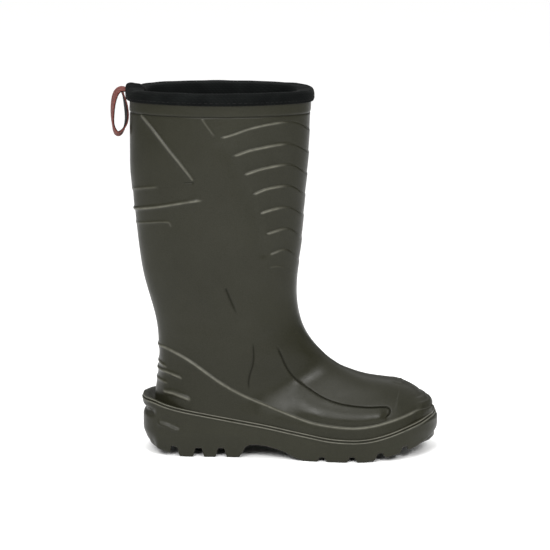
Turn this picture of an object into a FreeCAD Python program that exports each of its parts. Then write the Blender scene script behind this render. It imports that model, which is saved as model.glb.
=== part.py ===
import FreeCAD, Part

import os

import Sketcher

# Insulated knee-height hunting boot for the right foot, one boot.
# Frame in millimetres: +X towards the toe, +Y towards the inner side of the foot, +Z up.
# The origin is on the tread, in the middle of the heel.

Vector = FreeCAD.Vector

# Driving dimensions: alias, value, what it is.
DIMENSIONS = [
    ("shell_wall", 4.5, "foamed polyurethane shell"),
    ("glue_gap", 0.3, "bond line between two layers"),
    ("sock_wall", 1.0, "knitted sock that the shell is moulded round"),
    ("insulation_wall", 4.0, "foam insulation"),
    ("fleece_wall", 2.0, "pile lining"),
    ("shell_top", 384.0, "height of the shell's cut edge, under the collar"),
    ("collar_foot", 379.3, "lower edge of the collar"),
    ("collar_top", 391.5, "top of the collar"),
    ("collar_skin", 1.8, "thickness of the collar above its core"),
    ("collar_proud", 3.0, "how far the collar stands out of the shell"),
    ("collar_round", 2.6, "radius of the collar's two top edges"),
    ("thread_foot", 381.2, "lower edge of the seam round the collar"),
    ("thread_width", 0.8, "height of the seam round the collar"),
    ("thread_sunk", 0.1, "how far the seam lies under the collar's face"),
    ("thread_depth", 0.8, "thickness of the seam, into the collar"),
    ("thread_groove", 1.2, "depth of the groove that holds the seam"),
    ("cut_run_out", 1.0, "how far a cutting block runs past what it cuts"),
    ("trim_length", 400.0, "length of the blocks that trim the leg"),
    ("trim_width", 200.0, "width of the blocks that trim the leg"),
    ("trim_back", -140.0, "where the blocks that trim the leg start, behind the heel"),
    ("bed_play", 0.4, "play between footbed and lining"),
    ("bed_cover", 1.0, "footbed's top cloth"),
    ("bed_foam", 3.2, "footbed's foam"),
    ("shank_width", 22.0, "width of the shank strip"),
    ("shank_gauge", 1.2, "thickness of the shank strip"),
    ("sole_half_width", 70.0, "half of the width that the sole's side cuts run through"),
    ("sole_blank_top", 64.0, "height of the block that the sole is cut from"),
    ("strap_width", 14.0, "pull strap's width"),
    ("webbing_gauge", 1.3, "pull strap's outer webbing"),
    ("tape_gauge", 0.7, "pull strap's inner tape"),
    ("patch_gauge", 1.2, "sewn patch that holds the pull strap"),
    ("patch_width", 16.0, "patch, across the collar"),
    ("patch_foot", 380.5, "patch, lower edge"),
    ("patch_top", 388.5, "patch, upper edge"),
    ("patch_block", 60.0, "length of the block that the patch is cut from"),
    ("patch_back", -130.0, "where the block that the patch is cut from starts"),
]

# The upper is a skin through sections that each stand on a line from the back, or sole, side of the boot
# to its front, or instep, side. half is the half width, mid the place of the widest point along the line,
# back_f and front_f how square the two ends are, and back_k and front_k how much a wall lengthens
# along the line because the surface leans. draw is how far the section moves back from the toe for each
# millimetre that the form is taken in.
STATION_FIELDS = (
    "back_x", "back_z", "front_x", "front_z", "side_y", "half",
    "mid", "back_f", "front_f", "back_k", "front_k", "draw",
)
STATIONS = [
    ("over", -84.5, 400.0, 102.5, 400.0, 0.0, 62.3, 0.50, 0.55, 0.55, 1.0, 1.0, 0.0),
    ("rim", -86.0, 370.0, 101.5, 370.0, 0.0, 62.0, 0.50, 0.55, 0.55, 1.0, 1.0, 0.0),
    ("calf", -86.5, 330.0, 99.5, 330.0, 0.0, 61.0, 0.50, 0.55, 0.55, 1.0, 1.0, 0.0),
    ("shin", -83.0, 282.0, 95.5, 282.0, 0.0, 58.0, 0.50, 0.55, 0.55, 1.0, 1.0, 0.0),
    ("leg", -78.5, 232.0, 92.0, 232.0, 0.0, 54.0, 0.50, 0.55, 0.55, 1.0, 1.0, 0.0),
    ("neck", -70.5, 184.0, 89.0, 186.0, 0.0, 49.5, 0.50, 0.55, 0.55, 1.02, 1.0, 0.0),
    ("ankle", -60.5, 145.0, 91.0, 155.0, 0.0, 47.0, 0.50, 0.55, 0.53, 1.04, 1.0, 0.0),
    ("joint", -57.0, 112.0, 98.5, 132.0, 0.0, 46.0, 0.50, 0.56, 0.50, 1.0, 1.04, 0.0),
    ("cuff", -59.0, 80.0, 107.0, 117.5, 0.0, 45.0, 0.50, 0.58, 0.47, 1.0, 1.06, 0.0),
    ("heel", -63.0, 50.0, 114.0, 110.0, 0.0, 43.5, 0.47, 0.64, 0.45, 1.05, 1.1, 0.0),
    ("seat", -57.0, 30.0, 121.0, 104.0, 0.0, 42.5, 0.42, 0.74, 0.43, 1.3, 1.1, 0.0),
    ("waist", -30.0, 25.5, 128.5, 98.5, 0.0, 42.0, 0.38, 0.80, 0.42, 2.35, 1.12, 0.0),
    ("arch", 8.0, 25.0, 137.0, 93.5, 0.0, 42.5, 0.38, 0.82, 0.42, 1.95, 1.15, 0.0),
    ("shank", 46.0, 22.0, 146.0, 89.5, 0.0, 45.0, 0.38, 0.84, 0.44, 1.7, 1.2, 0.0),
    ("tread", 84.0, 15.5, 156.0, 86.0, -1.0, 48.5, 0.38, 0.86, 0.46, 1.4, 1.15, 0.0),
    ("ball", 120.0, 11.0, 168.0, 82.5, -1.0, 51.0, 0.38, 0.88, 0.48, 1.2, 1.08, 0.0),
    ("vamp", 152.0, 11.5, 181.0, 79.5, 0.0, 50.5, 0.38, 0.88, 0.50, 1.1, 1.03, 0.0),
    ("tip", 182.0, 14.5, 196.0, 76.0, 2.0, 46.5, 0.40, 0.86, 0.52, 1.05, 1.05, 0.05),
    ("cap", 206.0, 19.5, 211.5, 71.0, 4.5, 39.0, 0.42, 0.80, 0.55, 1.1, 1.2, 0.2),
    ("nose", 226.0, 26.5, 228.0, 62.0, 6.5, 27.0, 0.45, 0.70, 0.60, 0.8, 0.8, 0.7),
    ("end", 236.5, 33.5, 237.0, 53.0, 7.0, 15.0, 0.50, 0.60, 0.60, 0.4, 0.4, 1.0),
]

# Outlines: each is a list of (x, y) in its sketch's own plane.
# Sole from above, as the poles of a closed spline, heel first and then along the outer side.
SOLE_PLAN = [
    (-77.5, 0), (-74, -29), (-52, -43), (-15, -44.5), (25, -44.5), (65, -47), (105, -53), (140, -58),
    (180, -55), (214, -42), (237.5, -20), (244, 8), (237.5, 34), (212, 50), (175, 54), (140, 54),
    (105, 50), (65, 45), (25, 43.5), (-15, 43.5), (-52, 42.5), (-74, 29),
]
# Top of the sole seen from the side, from the heel spur to the toe, as the poles of an open spline.
SOLE_EDGE = [
    (-90, 61), (-72, 62), (-56, 58.5), (-35, 54), (-5, 49.5), (30, 41.5), (60, 37), (90, 30), (125, 22.5),
    (165, 20.5), (195, 29), (215, 37), (228, 43), (252, 47),
]
# Underside of the sole from the side: heel bevel, heel, breast, arch, forefoot, toe spring.
SOLE_UNDERSIDE = [
    (-90, 22), (-72, 15), (-69, 9), (-63, 4.5), (-52, 1.5), (-42, 0), (28, 0), (31, 4.5), (36, 13.5),
    (41, 15.5), (47, 15.5), (57, 14.7), (68, 11.6), (79, 8.3), (84, 1.7), (88, 0), (160, 0), (173, 2),
    (190, 4.7), (207, 9.5), (217, 13.5), (229, 19.5), (240, 27), (252, 36),
]
HEEL_NOTCH = [(-90, 53), (-72.5, 49.5), (-71.5, 47), (-72.5, 44), (-90, 40)]
HEEL_GROOVES = (-40.5, -15.0, 9.5)
BALL_GROOVES = ((118.0, 0.0), (147.0, 0.0), (180.0, 3.2), (204.5, 8.6))
HEEL_GROOVE_DEPTH = 8.5
BALL_GROOVE_DEPTH = 4.0
GROOVE_WIDTH = 5.5
GROOVE_DRAFT = 0.8
GROOVE_RUN_OUT = 3.0

# Centre line of the shank strip and top line of the footbed, both from the side.
SHANK_LINE = [(-34, 22.6), (4, 22.2), (46, 18.9), (58, 17.2)]
FOOTBED_LINE = [
    (-70, 44.5), (-40, 43.5), (-10, 43.4), (8, 43.6), (35, 42.4), (65, 39.6), (84, 36.3), (110, 31.5),
    (135, 29.6), (155, 30.2), (182, 33.0), (197, 36.0),
]
FOOTBED_FLOOR = 12.0
# Highest line at which the insole board is turned up, from the side.
BOARD_LINE = [(-90, 40), (20, 34), (110, 20.5), (165, 20.5), (245, 40)]
BOARD_FLOOR = -5.0

# Pull strap: poles of the closed teardrop that its outer face follows, seen from the side.
STRAP_LOOP = [
    (-92.5, 391.0), (-99.5, 395.0), (-107.0, 387.0), (-109.6, 371.0), (-108.6, 355.0), (-106.0, 344.5),
    (-100.5, 338.0), (-92.0, 344.5), (-88.8, 357.0), (-89.6, 370.0), (-92.2, 381.0),
]
TAPE_CLEARANCE = 0.35
STRAP_NECK = [(-93.5, 388.0), (-90.4, 387.4), (-90.4, 390.6), (-94.4, 390.6)]


def fill_sheet(sheet):
    """Writes each dimension, station field and outline point in a cell of its own with an alias."""
    row = 1
    for alias, value, words in DIMENSIONS:
        row = put_cell(sheet, row, alias, value, words)
    for name, *values in STATIONS:
        for field, value in zip(STATION_FIELDS, values):
            row = put_cell(sheet, row, f"{name}_{field}", value, "section of the upper")
    return row


def put_cell(sheet, row, alias, value, words):
    sheet.set(f"A{row}", alias)
    sheet.set(f"B{row}", str(value))
    sheet.set(f"C{row}", words)
    sheet.setAlias(f"B{row}", alias)
    return row + 1


class Boot:
    """The document, its sheet and the helpers that every sub-part uses."""

    def __init__(self):
        self.doc = FreeCAD.newDocument("hunting_boot")
        self.sheet = self.doc.addObject("Spreadsheet::Sheet", "dims")
        self.next_row = fill_sheet(self.sheet)
        self.doc.recompute()

    def size(self, alias):
        return float(self.sheet.get(alias))

    def cell(self, alias, value, words):
        """A cell for one coordinate of an outline. Returns the expression that reads it."""
        self.next_row = put_cell(self.sheet, self.next_row, alias, value, words)
        return f"dims.{alias}"

    def origin_plane(self, body, role):
        return next(item for item in body.Origin.OriginFeatures if item.Role == role)

    def body(self, label):
        return self.doc.addObject("PartDesign::Body", label)

    def sketch(self, body, label, role="XZ_Plane"):
        sketch = body.newObject("Sketcher::SketchObject", label)
        sketch.AttachmentSupport = [(self.origin_plane(body, role), "")]
        sketch.MapMode = "FlatFace"
        return sketch

    def bind_point(self, sketch, geometry, vertex, name, point):
        """Holds one sketch point at two cells."""
        for axis, kind, value in (("x", "DistanceX", point[0]), ("y", "DistanceY", point[1])):
            expression = self.cell(f"{name}_{axis}", value, "outline point")
            index = sketch.addConstraint(Sketcher.Constraint(kind, -1, 1, geometry, vertex, float(value)))
            constraint = f"{name}_{axis}"
            sketch.renameConstraint(index, constraint)
            sketch.setExpression(f"Constraints.{constraint}", expression)

    def add_lines(self, sketch, name, points, closed=True):
        """Straight edges through the points, which are bound to cells. Returns the edges' numbers."""
        ends = points[1:] + points[:1] if closed else points[1:]
        edges = []
        for start, end in zip(points, ends):
            line = Part.LineSegment(Vector(*start, 0), Vector(*end, 0))
            edges.append(sketch.addGeometry(line, False))
        for first, second in zip(edges, edges[1:]):
            sketch.addConstraint(Sketcher.Constraint("Coincident", first, 2, second, 1))
        if closed:
            sketch.addConstraint(Sketcher.Constraint("Coincident", edges[-1], 2, edges[0], 1))
        for number, (edge, point) in enumerate(zip(edges, points)):
            self.bind_point(sketch, edge, 1, f"{name}_{number}", point)
        if not closed:
            self.bind_point(sketch, edges[-1], 2, f"{name}_{len(edges)}", points[-1])
        return edges

    def add_spline(self, sketch, name, poles, closed):
        """A cubic spline whose poles are bound to cells."""
        curve = Part.BSplineCurve()
        vectors = [Vector(x, y, 0) for x, y in poles]
        count = len(poles)
        if closed:
            curve.buildFromPolesMultsKnots(vectors, [1] * (count + 1), list(range(count + 1)), True, 3)
        else:
            knots = list(range(count - 2))
            curve.buildFromPolesMultsKnots(vectors, [4] + [1] * (count - 4) + [4], knots, False, 3)
        spline = sketch.addGeometry(curve, False)
        for number, (vector, point) in enumerate(zip(vectors, poles)):
            circle = sketch.addGeometry(Part.Circle(vector, Vector(0, 0, 1), 1), True)
            sketch.addConstraint(Sketcher.Constraint("Weight", circle, 1.0))
            pole_role = "InternalAlignment:Sketcher::BSplineControlPoint"
            sketch.addConstraint(Sketcher.Constraint(pole_role, circle, 3, spline, number))
            self.bind_point(sketch, circle, 3, f"{name}_{number}", point)
        return spline

    def pad(self, body, label, sketch, length, both_ways=True):
        pad = body.newObject("PartDesign::Pad", label)
        pad.Profile = sketch
        pad.Midplane = both_ways
        pad.setExpression("Length", length)
        return pad

    def pocket(self, body, label, sketch, length):
        pocket = body.newObject("PartDesign::Pocket", label)
        pocket.Profile = sketch
        pocket.Midplane = True
        pocket.setExpression("Length", length)
        return pocket

    def cut(self, label, base, tool):
        result = self.doc.addObject("Part::Cut", label)
        result.Base = base
        result.Tool = tool
        return result

    def common(self, label, base, tool):
        result = self.doc.addObject("Part::Common", label)
        result.Base = base
        result.Tool = tool
        return result

    def slab(self, label, low, high):
        """A flat block wide enough to trim the leg between two heights."""
        box = self.doc.addObject("Part::Box", label)
        box.setExpression("Length", "dims.trim_length")
        box.setExpression("Width", "dims.trim_width")
        box.setExpression("Height", f"({high}) - ({low})")
        box.setExpression("Placement.Base.x", "dims.trim_back")
        box.setExpression("Placement.Base.y", "-dims.trim_width / 2")
        box.setExpression("Placement.Base.z", low)
        return box

    def section_poles(self, station, inset):
        """The eight poles of one section, taken in by inset."""
        value = {field: self.size(f"{station}_{field}") for field in STATION_FIELDS}
        pull = inset * value["draw"]
        back = Vector(value["back_x"] - pull, value["side_y"], value["back_z"])
        front = Vector(value["front_x"] - pull, value["side_y"], value["front_z"])
        span = (front - back).Length
        along = (front - back).normalize()
        near = inset * value["back_k"]
        far = span - inset * value["front_k"]
        half = value["half"] - inset
        back_half = half * value["back_f"]
        front_half = half * value["front_f"]
        widest = half * (6 - value["back_f"] - value["front_f"]) / 4
        ring = [
            (near, 0), (near, back_half), (span * value["mid"], widest), (far, front_half),
            (far, 0), (far, -front_half), (span * value["mid"], -widest), (near, -back_half),
        ]
        return [back + along * run + Vector(0, side, 0) for run, side in ring]

    def form(self, label, inset):
        """The boot's form taken in by inset all round, as one closed solid."""
        rings = [self.section_poles(row[0], inset) for row in STATIONS]
        centres = [sum(ring, Vector()) / len(ring) for ring in rings]
        distance = [0.0]
        for first, second in zip(centres, centres[1:]):
            distance.append(distance[-1] + (second - first).Length)
        parameters = [value / distance[-1] for value in distance]
        rails = []
        for rail_points in zip(*rings):
            rail = Part.BSplineCurve()
            rail.interpolate(Points=list(rail_points), Parameters=parameters)
            rails.append(rail)
        count = len(rails)
        skin = Part.BSplineSurface()
        skin.buildFromPolesMultsKnots(
            [rail.getPoles() for rail in rails], [1] * (count + 1), rails[0].getMultiplicities(),
            list(range(count + 1)), rails[0].getKnots(), True, False, 3, 3,
        )
        caps = [Part.Face(Part.Wire(skin.vIso(value).toShape())) for value in (0.0, 1.0)]
        shell = Part.makeShell([skin.toShape()] + caps)
        shell.sewShape()
        solid = Part.Solid(shell)
        if solid.Volume < 0:
            solid.reverse()
        feature = self.doc.addObject("Part::Feature", label)
        feature.Shape = solid
        return feature


def room(boot, number, clearance=0.0):
    """Inset of a layer's outer face: 0 is the shell's own, 1 the shell's inner face, and so on inwards."""
    walls = ("shell_wall", "sock_wall", "insulation_wall", "fleece_wall")
    inset = sum(boot.size(wall) for wall in walls[:number])
    return inset + boot.size("glue_gap") * max(number - 1, 0) + clearance


def side_block(boot, label, points):
    """A block across the whole boot, cut to an outline seen from the side."""
    body = boot.body(label)
    sketch = boot.sketch(body, f"{label}_sketch")
    boot.add_lines(sketch, label, points)
    boot.pad(body, f"{label}_pad", sketch, "2 * dims.sole_half_width")
    return body


def groove_outline(middle, floor, width, depth):
    """A groove across the sole, a little wider at its mouth. floor is the tread's height there."""
    mouth = 0.5 * width + GROOVE_DRAFT
    crown = 0.5 * width - GROOVE_DRAFT
    low = floor - GROOVE_RUN_OUT
    high = floor + depth
    return [(middle - mouth, low), (middle + mouth, low), (middle + crown, high), (middle - crown, high)]


def make_outsole(boot, shank_strip):
    plan = boot.body("sole_plan")
    plan_sketch = boot.sketch(plan, "sole_plan_sketch", "XY_Plane")
    boot.add_spline(plan_sketch, "sole_plan", SOLE_PLAN, closed=True)
    boot.pad(plan, "sole_plan_pad", plan_sketch, "dims.sole_blank_top", both_ways=False)

    side = boot.body("sole_side")
    side_sketch = boot.sketch(side, "sole_side_sketch")
    edge = boot.add_spline(side_sketch, "sole_edge", SOLE_EDGE, closed=False)
    underside = boot.add_lines(side_sketch, "sole_under", SOLE_UNDERSIDE, closed=False)
    ends = (
        (SOLE_UNDERSIDE[0], SOLE_EDGE[0], underside[0], 1, 1),
        (SOLE_UNDERSIDE[-1], SOLE_EDGE[-1], underside[-1], 2, 2),
    )
    for low, high, low_edge, low_vertex, high_vertex in ends:
        wall = side_sketch.addGeometry(Part.LineSegment(Vector(*low, 0), Vector(*high, 0)), False)
        side_sketch.addConstraint(Sketcher.Constraint("Coincident", wall, 1, low_edge, low_vertex))
        side_sketch.addConstraint(Sketcher.Constraint("Coincident", wall, 2, edge, high_vertex))
    boot.pad(side, "sole_side_pad", side_sketch, "2 * dims.sole_half_width")

    cuts = {"heel_notch": HEEL_NOTCH}
    for number, middle in enumerate(HEEL_GROOVES):
        cuts[f"heel_groove_{number}"] = groove_outline(middle, 0.0, GROOVE_WIDTH, HEEL_GROOVE_DEPTH)
    for number, (middle, floor) in enumerate(BALL_GROOVES):
        cuts[f"ball_groove_{number}"] = groove_outline(middle, floor, GROOVE_WIDTH, BALL_GROOVE_DEPTH)
    for name, outline in cuts.items():
        sketch = boot.sketch(side, f"{name}_sketch")
        boot.add_lines(sketch, name, outline)
        boot.pocket(side, name, sketch, "2 * dims.sole_half_width")

    blank = boot.common("sole_blank", plan, side)
    seat = boot.form("form_sole_seat", -boot.size("glue_gap"))
    seated = boot.cut("sole_seated", blank, seat)
    return boot.cut("outsole", seated, shank_strip)


def make_shank(boot):
    body = boot.body("shank")
    half = 0.5 * boot.size("shank_gauge")
    upper = [(x, z + half) for x, z in SHANK_LINE]
    lower = [(x, z - half) for x, z in reversed(SHANK_LINE)]
    sketch = boot.sketch(body, "shank_sketch")
    boot.add_lines(sketch, "shank_edge", upper + lower)
    boot.pad(body, "shank_pad", sketch, "dims.shank_width")
    return body


def make_layer(boot, label, below_rim, outside, inside):
    """One layer of the upper between two insets, open at the top."""
    outer = boot.form(f"{label}_outside", outside)
    inner = boot.form(f"{label}_inside", inside)
    return boot.cut(label, boot.common(f"{label}_trimmed", outer, below_rim), inner)


def make_upper(boot):
    below_rim = boot.slab("below_rim", "-10", "dims.shell_top")
    make_layer(boot, "upper_shell", below_rim, room(boot, 0), room(boot, 1))
    gap = boot.size("glue_gap")
    sock = make_layer(boot, "sock_layer", below_rim, room(boot, 1, gap), room(boot, 2))
    make_layer(boot, "insulation_layer", below_rim, room(boot, 2, gap), room(boot, 3))
    make_layer(boot, "fleece_lining", below_rim, room(boot, 3, gap), room(boot, 4))
    floor = [(BOARD_LINE[-1][0], BOARD_FLOOR), (BOARD_LINE[0][0], BOARD_FLOOR)]
    sock_line = [(x, z + gap) for x, z in BOARD_LINE]
    boot.cut("lining_sock", sock, side_block(boot, "sock_cut", sock_line + floor))
    board_zone = side_block(boot, "board_zone", BOARD_LINE + floor)
    board_block = boot.common("board_block", boot.form("board_outside", room(boot, 1, gap)), board_zone)
    boot.cut("insole_board", board_block, boot.form("board_inside", room(boot, 2)))


def make_footbed(boot):
    """Three bonded layers that fill the bottom of the lined boot up to the footbed's top line."""
    bed_room = boot.form("footbed_room", room(boot, 4, boot.size("bed_play")))
    cover_depth = boot.size("bed_cover")
    foam_depth = cover_depth + boot.size("bed_foam")
    under_cover = [(x, z - cover_depth) for x, z in FOOTBED_LINE]
    under_foam = [(x, z - foam_depth) for x, z in FOOTBED_LINE]
    floor = [(x, FOOTBED_FLOOR) for x, z in (FOOTBED_LINE[0], FOOTBED_LINE[-1])]
    layers = (
        ("footbed_cover", FOOTBED_LINE, under_cover),
        ("footbed_foam", under_cover, under_foam),
        ("footbed_base", under_foam, floor),
    )
    for label, upper, lower in layers:
        zone = side_block(boot, f"{label}_zone", upper + lower[::-1])
        boot.common(label, bed_room, zone)


def collar_band(boot, name, low, high, outside, inside):
    """A band round the rim between two heights and two insets of the boot's form."""
    height = boot.slab(f"{name}_height", low, high)
    outer = boot.form(f"{name}_outside", outside)
    inner = boot.form(f"{name}_inside", inside)
    return boot.cut(f"{name}_band", boot.common(f"{name}_solid", outer, height), inner)


def make_collar(boot):
    proud = boot.size("collar_proud")
    gap = boot.size("glue_gap")
    stack = room(boot, 4)
    blank = collar_band(boot, "collar", "dims.collar_foot", "dims.collar_top", -proud, stack + proud)
    boot.doc.recompute()
    rounded = boot.doc.addObject("Part::Fillet", "collar_rounded")
    rounded.Base = blank
    top = boot.size("collar_top")
    radius = boot.size("collar_round")
    rims = [
        number for number, edge in enumerate(blank.Shape.Edges, 1)
        if abs(edge.BoundBox.ZMin - top) < 1e-3 and abs(edge.BoundBox.ZMax - top) < 1e-3
    ]
    rounded.Edges = [(number, radius, radius) for number in rims]
    channel = collar_band(
        boot, "channel", "dims.collar_foot - dims.cut_run_out", "dims.collar_top - dims.collar_skin",
        -gap, stack + gap,
    )
    hollowed = boot.cut("collar_hollowed", rounded, channel)
    core = collar_band(
        boot, "core", "dims.shell_top + dims.glue_gap", "dims.collar_top - dims.collar_skin - dims.glue_gap",
        0, stack,
    )
    core.Label = "collar_padding"

    thread_face = boot.size("thread_sunk") - proud
    thread_top = "dims.thread_foot + dims.thread_width"
    groove = collar_band(
        boot, "groove", "dims.thread_foot - dims.glue_gap", f"{thread_top} + dims.glue_gap",
        -proud - boot.size("cut_run_out"), boot.size("thread_groove") - proud,
    )
    boot.cut("collar_binding", hollowed, groove)
    thread = collar_band(
        boot, "thread", "dims.thread_foot", thread_top,
        thread_face, thread_face + boot.size("thread_depth"),
    )
    thread.Label = "collar_thread"


def make_pull_strap(boot):
    patch_box = boot.doc.addObject("Part::Box", "patch_box")
    patch_box.setExpression("Length", "dims.patch_block")
    patch_box.setExpression("Width", "dims.patch_width")
    patch_box.setExpression("Height", "dims.patch_top - dims.patch_foot")
    patch_box.setExpression("Placement.Base.x", "dims.patch_back")
    patch_box.setExpression("Placement.Base.y", "-dims.patch_width / 2")
    patch_box.setExpression("Placement.Base.z", "dims.patch_foot")
    face = -boot.size("collar_proud") - boot.size("glue_gap")
    outside = boot.form("patch_outside", face - boot.size("patch_gauge"))
    inside = boot.form("patch_inside", face)
    boot.cut("pull_strap_patch", boot.common("patch_solid", outside, patch_box), inside)

    webbing_depth = boot.size("webbing_gauge")
    tape_depth = webbing_depth + boot.size("tape_gauge")
    webbing = boot.body("pull_strap_webbing")
    strap_ring(boot, webbing, "webbing", STRAP_LOOP, inset_poles(STRAP_LOOP, webbing_depth))
    neck_sketch = boot.sketch(webbing, "strap_neck_sketch")
    boot.add_lines(neck_sketch, "strap_neck", STRAP_NECK)
    boot.pad(webbing, "strap_neck_pad", neck_sketch, "dims.strap_width")
    tape = boot.body("pull_strap_tape")
    under_webbing = inset_poles(STRAP_LOOP, webbing_depth + TAPE_CLEARANCE)
    strap_ring(boot, tape, "tape", under_webbing, inset_poles(STRAP_LOOP, tape_depth + TAPE_CLEARANCE))


def inset_poles(poles, distance):
    """Moves each pole of a closed outline inwards, square to the line between its neighbours."""
    moved = []
    for before, pole, after in zip(poles[-1:] + poles[:-1], poles, poles[1:] + poles[:1]):
        along = Vector(after[0] - before[0], after[1] - before[1], 0).normalize()
        moved.append((pole[0] - along.y * distance, pole[1] + along.x * distance))
    return moved


def strap_ring(boot, body, name, outer_poles, inner_poles):
    """The band between two closed splines, as wide as the strap."""
    sketch = boot.sketch(body, f"{name}_sketch")
    boot.add_spline(sketch, f"{name}_outer", outer_poles, closed=True)
    boot.add_spline(sketch, f"{name}_inner", inner_poles, closed=True)
    boot.pad(body, f"{name}_pad", sketch, "dims.strap_width")


SUB_PARTS = (
    "upper_shell", "outsole", "shank", "insole_board", "lining_sock", "insulation_layer", "fleece_lining",
    "footbed_base", "footbed_foam", "footbed_cover", "collar_binding", "collar_padding", "collar_thread",
    "pull_strap_patch", "pull_strap_webbing", "pull_strap_tape",
)


def write_parts(boot):
    """Checks every object and writes each sub-part in a file of its own."""
    boot.doc.recompute()
    failed = [item.Label for item in boot.doc.Objects if "Invalid" in item.State or "Error" in item.State]
    if failed:
        raise RuntimeError(f"objects failed: {failed}")
    os.makedirs("parts", exist_ok=True)
    for label in SUB_PARTS:
        shape = boot.doc.getObjectsByLabel(label)[0].Shape
        if shape.isNull() or not shape.isValid() or not shape.Solids:
            raise RuntimeError(f"{label} has no valid solid")
        shape.exportStep(f"parts/{label}.step")
        print(label, "solids", len(shape.Solids), "volume_mm3", round(shape.Volume))


def main():
    boot = Boot()
    make_upper(boot)
    shank_strip = make_shank(boot)
    make_outsole(boot, shank_strip)
    make_footbed(boot)
    make_collar(boot)
    make_pull_strap(boot)
    write_parts(boot)


main()
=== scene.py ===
import math

import bmesh
import bpy
import numpy as np
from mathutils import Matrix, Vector, noise


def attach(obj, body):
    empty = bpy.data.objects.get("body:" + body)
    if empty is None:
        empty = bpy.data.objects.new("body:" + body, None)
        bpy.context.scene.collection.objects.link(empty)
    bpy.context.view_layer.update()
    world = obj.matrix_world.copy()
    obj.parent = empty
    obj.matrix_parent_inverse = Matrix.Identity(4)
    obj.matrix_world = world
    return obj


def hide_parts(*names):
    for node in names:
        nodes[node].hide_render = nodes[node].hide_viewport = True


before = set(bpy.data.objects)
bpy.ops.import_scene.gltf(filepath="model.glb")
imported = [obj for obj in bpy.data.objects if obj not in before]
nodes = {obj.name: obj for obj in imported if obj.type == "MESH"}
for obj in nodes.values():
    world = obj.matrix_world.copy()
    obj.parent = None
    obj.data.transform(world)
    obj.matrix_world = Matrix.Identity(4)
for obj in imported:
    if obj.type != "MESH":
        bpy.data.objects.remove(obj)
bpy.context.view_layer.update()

# Insulated hunting boot. Shapes are worked out in millimetres in the CAD frame, +X to the toe, +Y to the
# inner side of the foot, +Z up, and turned into metres where a mesh is made.
MM = 0.001


# ---------------------------------------------------------------- curves and fields

def smoothstep(value):
    clipped = np.clip(value, 0.0, 1.0)
    return clipped * clipped * (3.0 - 2.0 * clipped)


def bell(distance, half_width):
    """1 in the middle, falling away smoothly on both sides."""
    return np.exp(-((distance / half_width) ** 2))


def natural_spline(knots, values, where):
    """Natural cubic spline through values at knots, for one or more columns of values."""
    knots = np.asarray(knots, float)
    values = np.asarray(values, float)
    count = len(knots)
    gaps = np.diff(knots)
    matrix = np.eye(count)
    right = np.zeros((count,) + values.shape[1:])
    slopes = np.diff(values, axis=0) / gaps.reshape((-1,) + (1,) * (values.ndim - 1))
    for i in range(1, count - 1):
        matrix[i, i - 1 : i + 2] = gaps[i - 1], 2 * (gaps[i - 1] + gaps[i]), gaps[i]
        right[i] = 6 * (slopes[i] - slopes[i - 1])
    bends = np.linalg.solve(matrix, right.reshape(count, -1)).reshape(right.shape)
    where = np.clip(np.asarray(where, float), knots[0], knots[-1])
    cell = np.clip(np.searchsorted(knots, where) - 1, 0, count - 2)
    shape = where.shape + (1,) * (values.ndim - 1)
    gap = gaps[cell].reshape(shape)
    low = (where - knots[cell]).reshape(shape)
    high = gap - low
    return (
        bends[cell] * high**3 / (6 * gap) + bends[cell + 1] * low**3 / (6 * gap)
        + (values[cell] / gap - bends[cell] * gap / 6) * high
        + (values[cell + 1] / gap - bends[cell + 1] * gap / 6) * low
    )


def ring_weights(turn, count):
    """Uniform cubic weights of a closed spline of count poles, at turn from 0 to 1."""
    place = np.asarray(turn, float) % 1.0 * count
    cell = np.floor(place).astype(int)
    f = place - cell
    parts = ((1 - f) ** 3, 3 * f**3 - 6 * f**2 + 4, -3 * f**3 + 3 * f**2 + 3 * f + 1, f**3)
    weights = np.zeros(place.shape + (count,))
    for shift, part in zip((-1, 0, 1, 2), parts):
        index = (cell + shift) % count
        index = index[..., None]
        share = np.take_along_axis(weights, index, -1) + part[..., None] / 6
        np.put_along_axis(weights, index, share, -1)
    return weights


def rounded_line(points, steps=6):
    """Given points joined by a smooth curve, as short runs."""
    points = np.asarray(points, float)
    if len(points) < 3:
        return points
    knots = np.arange(len(points), dtype=float)
    return natural_spline(knots, points, np.linspace(0, len(points) - 1, steps * (len(points) - 1) + 1))


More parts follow.
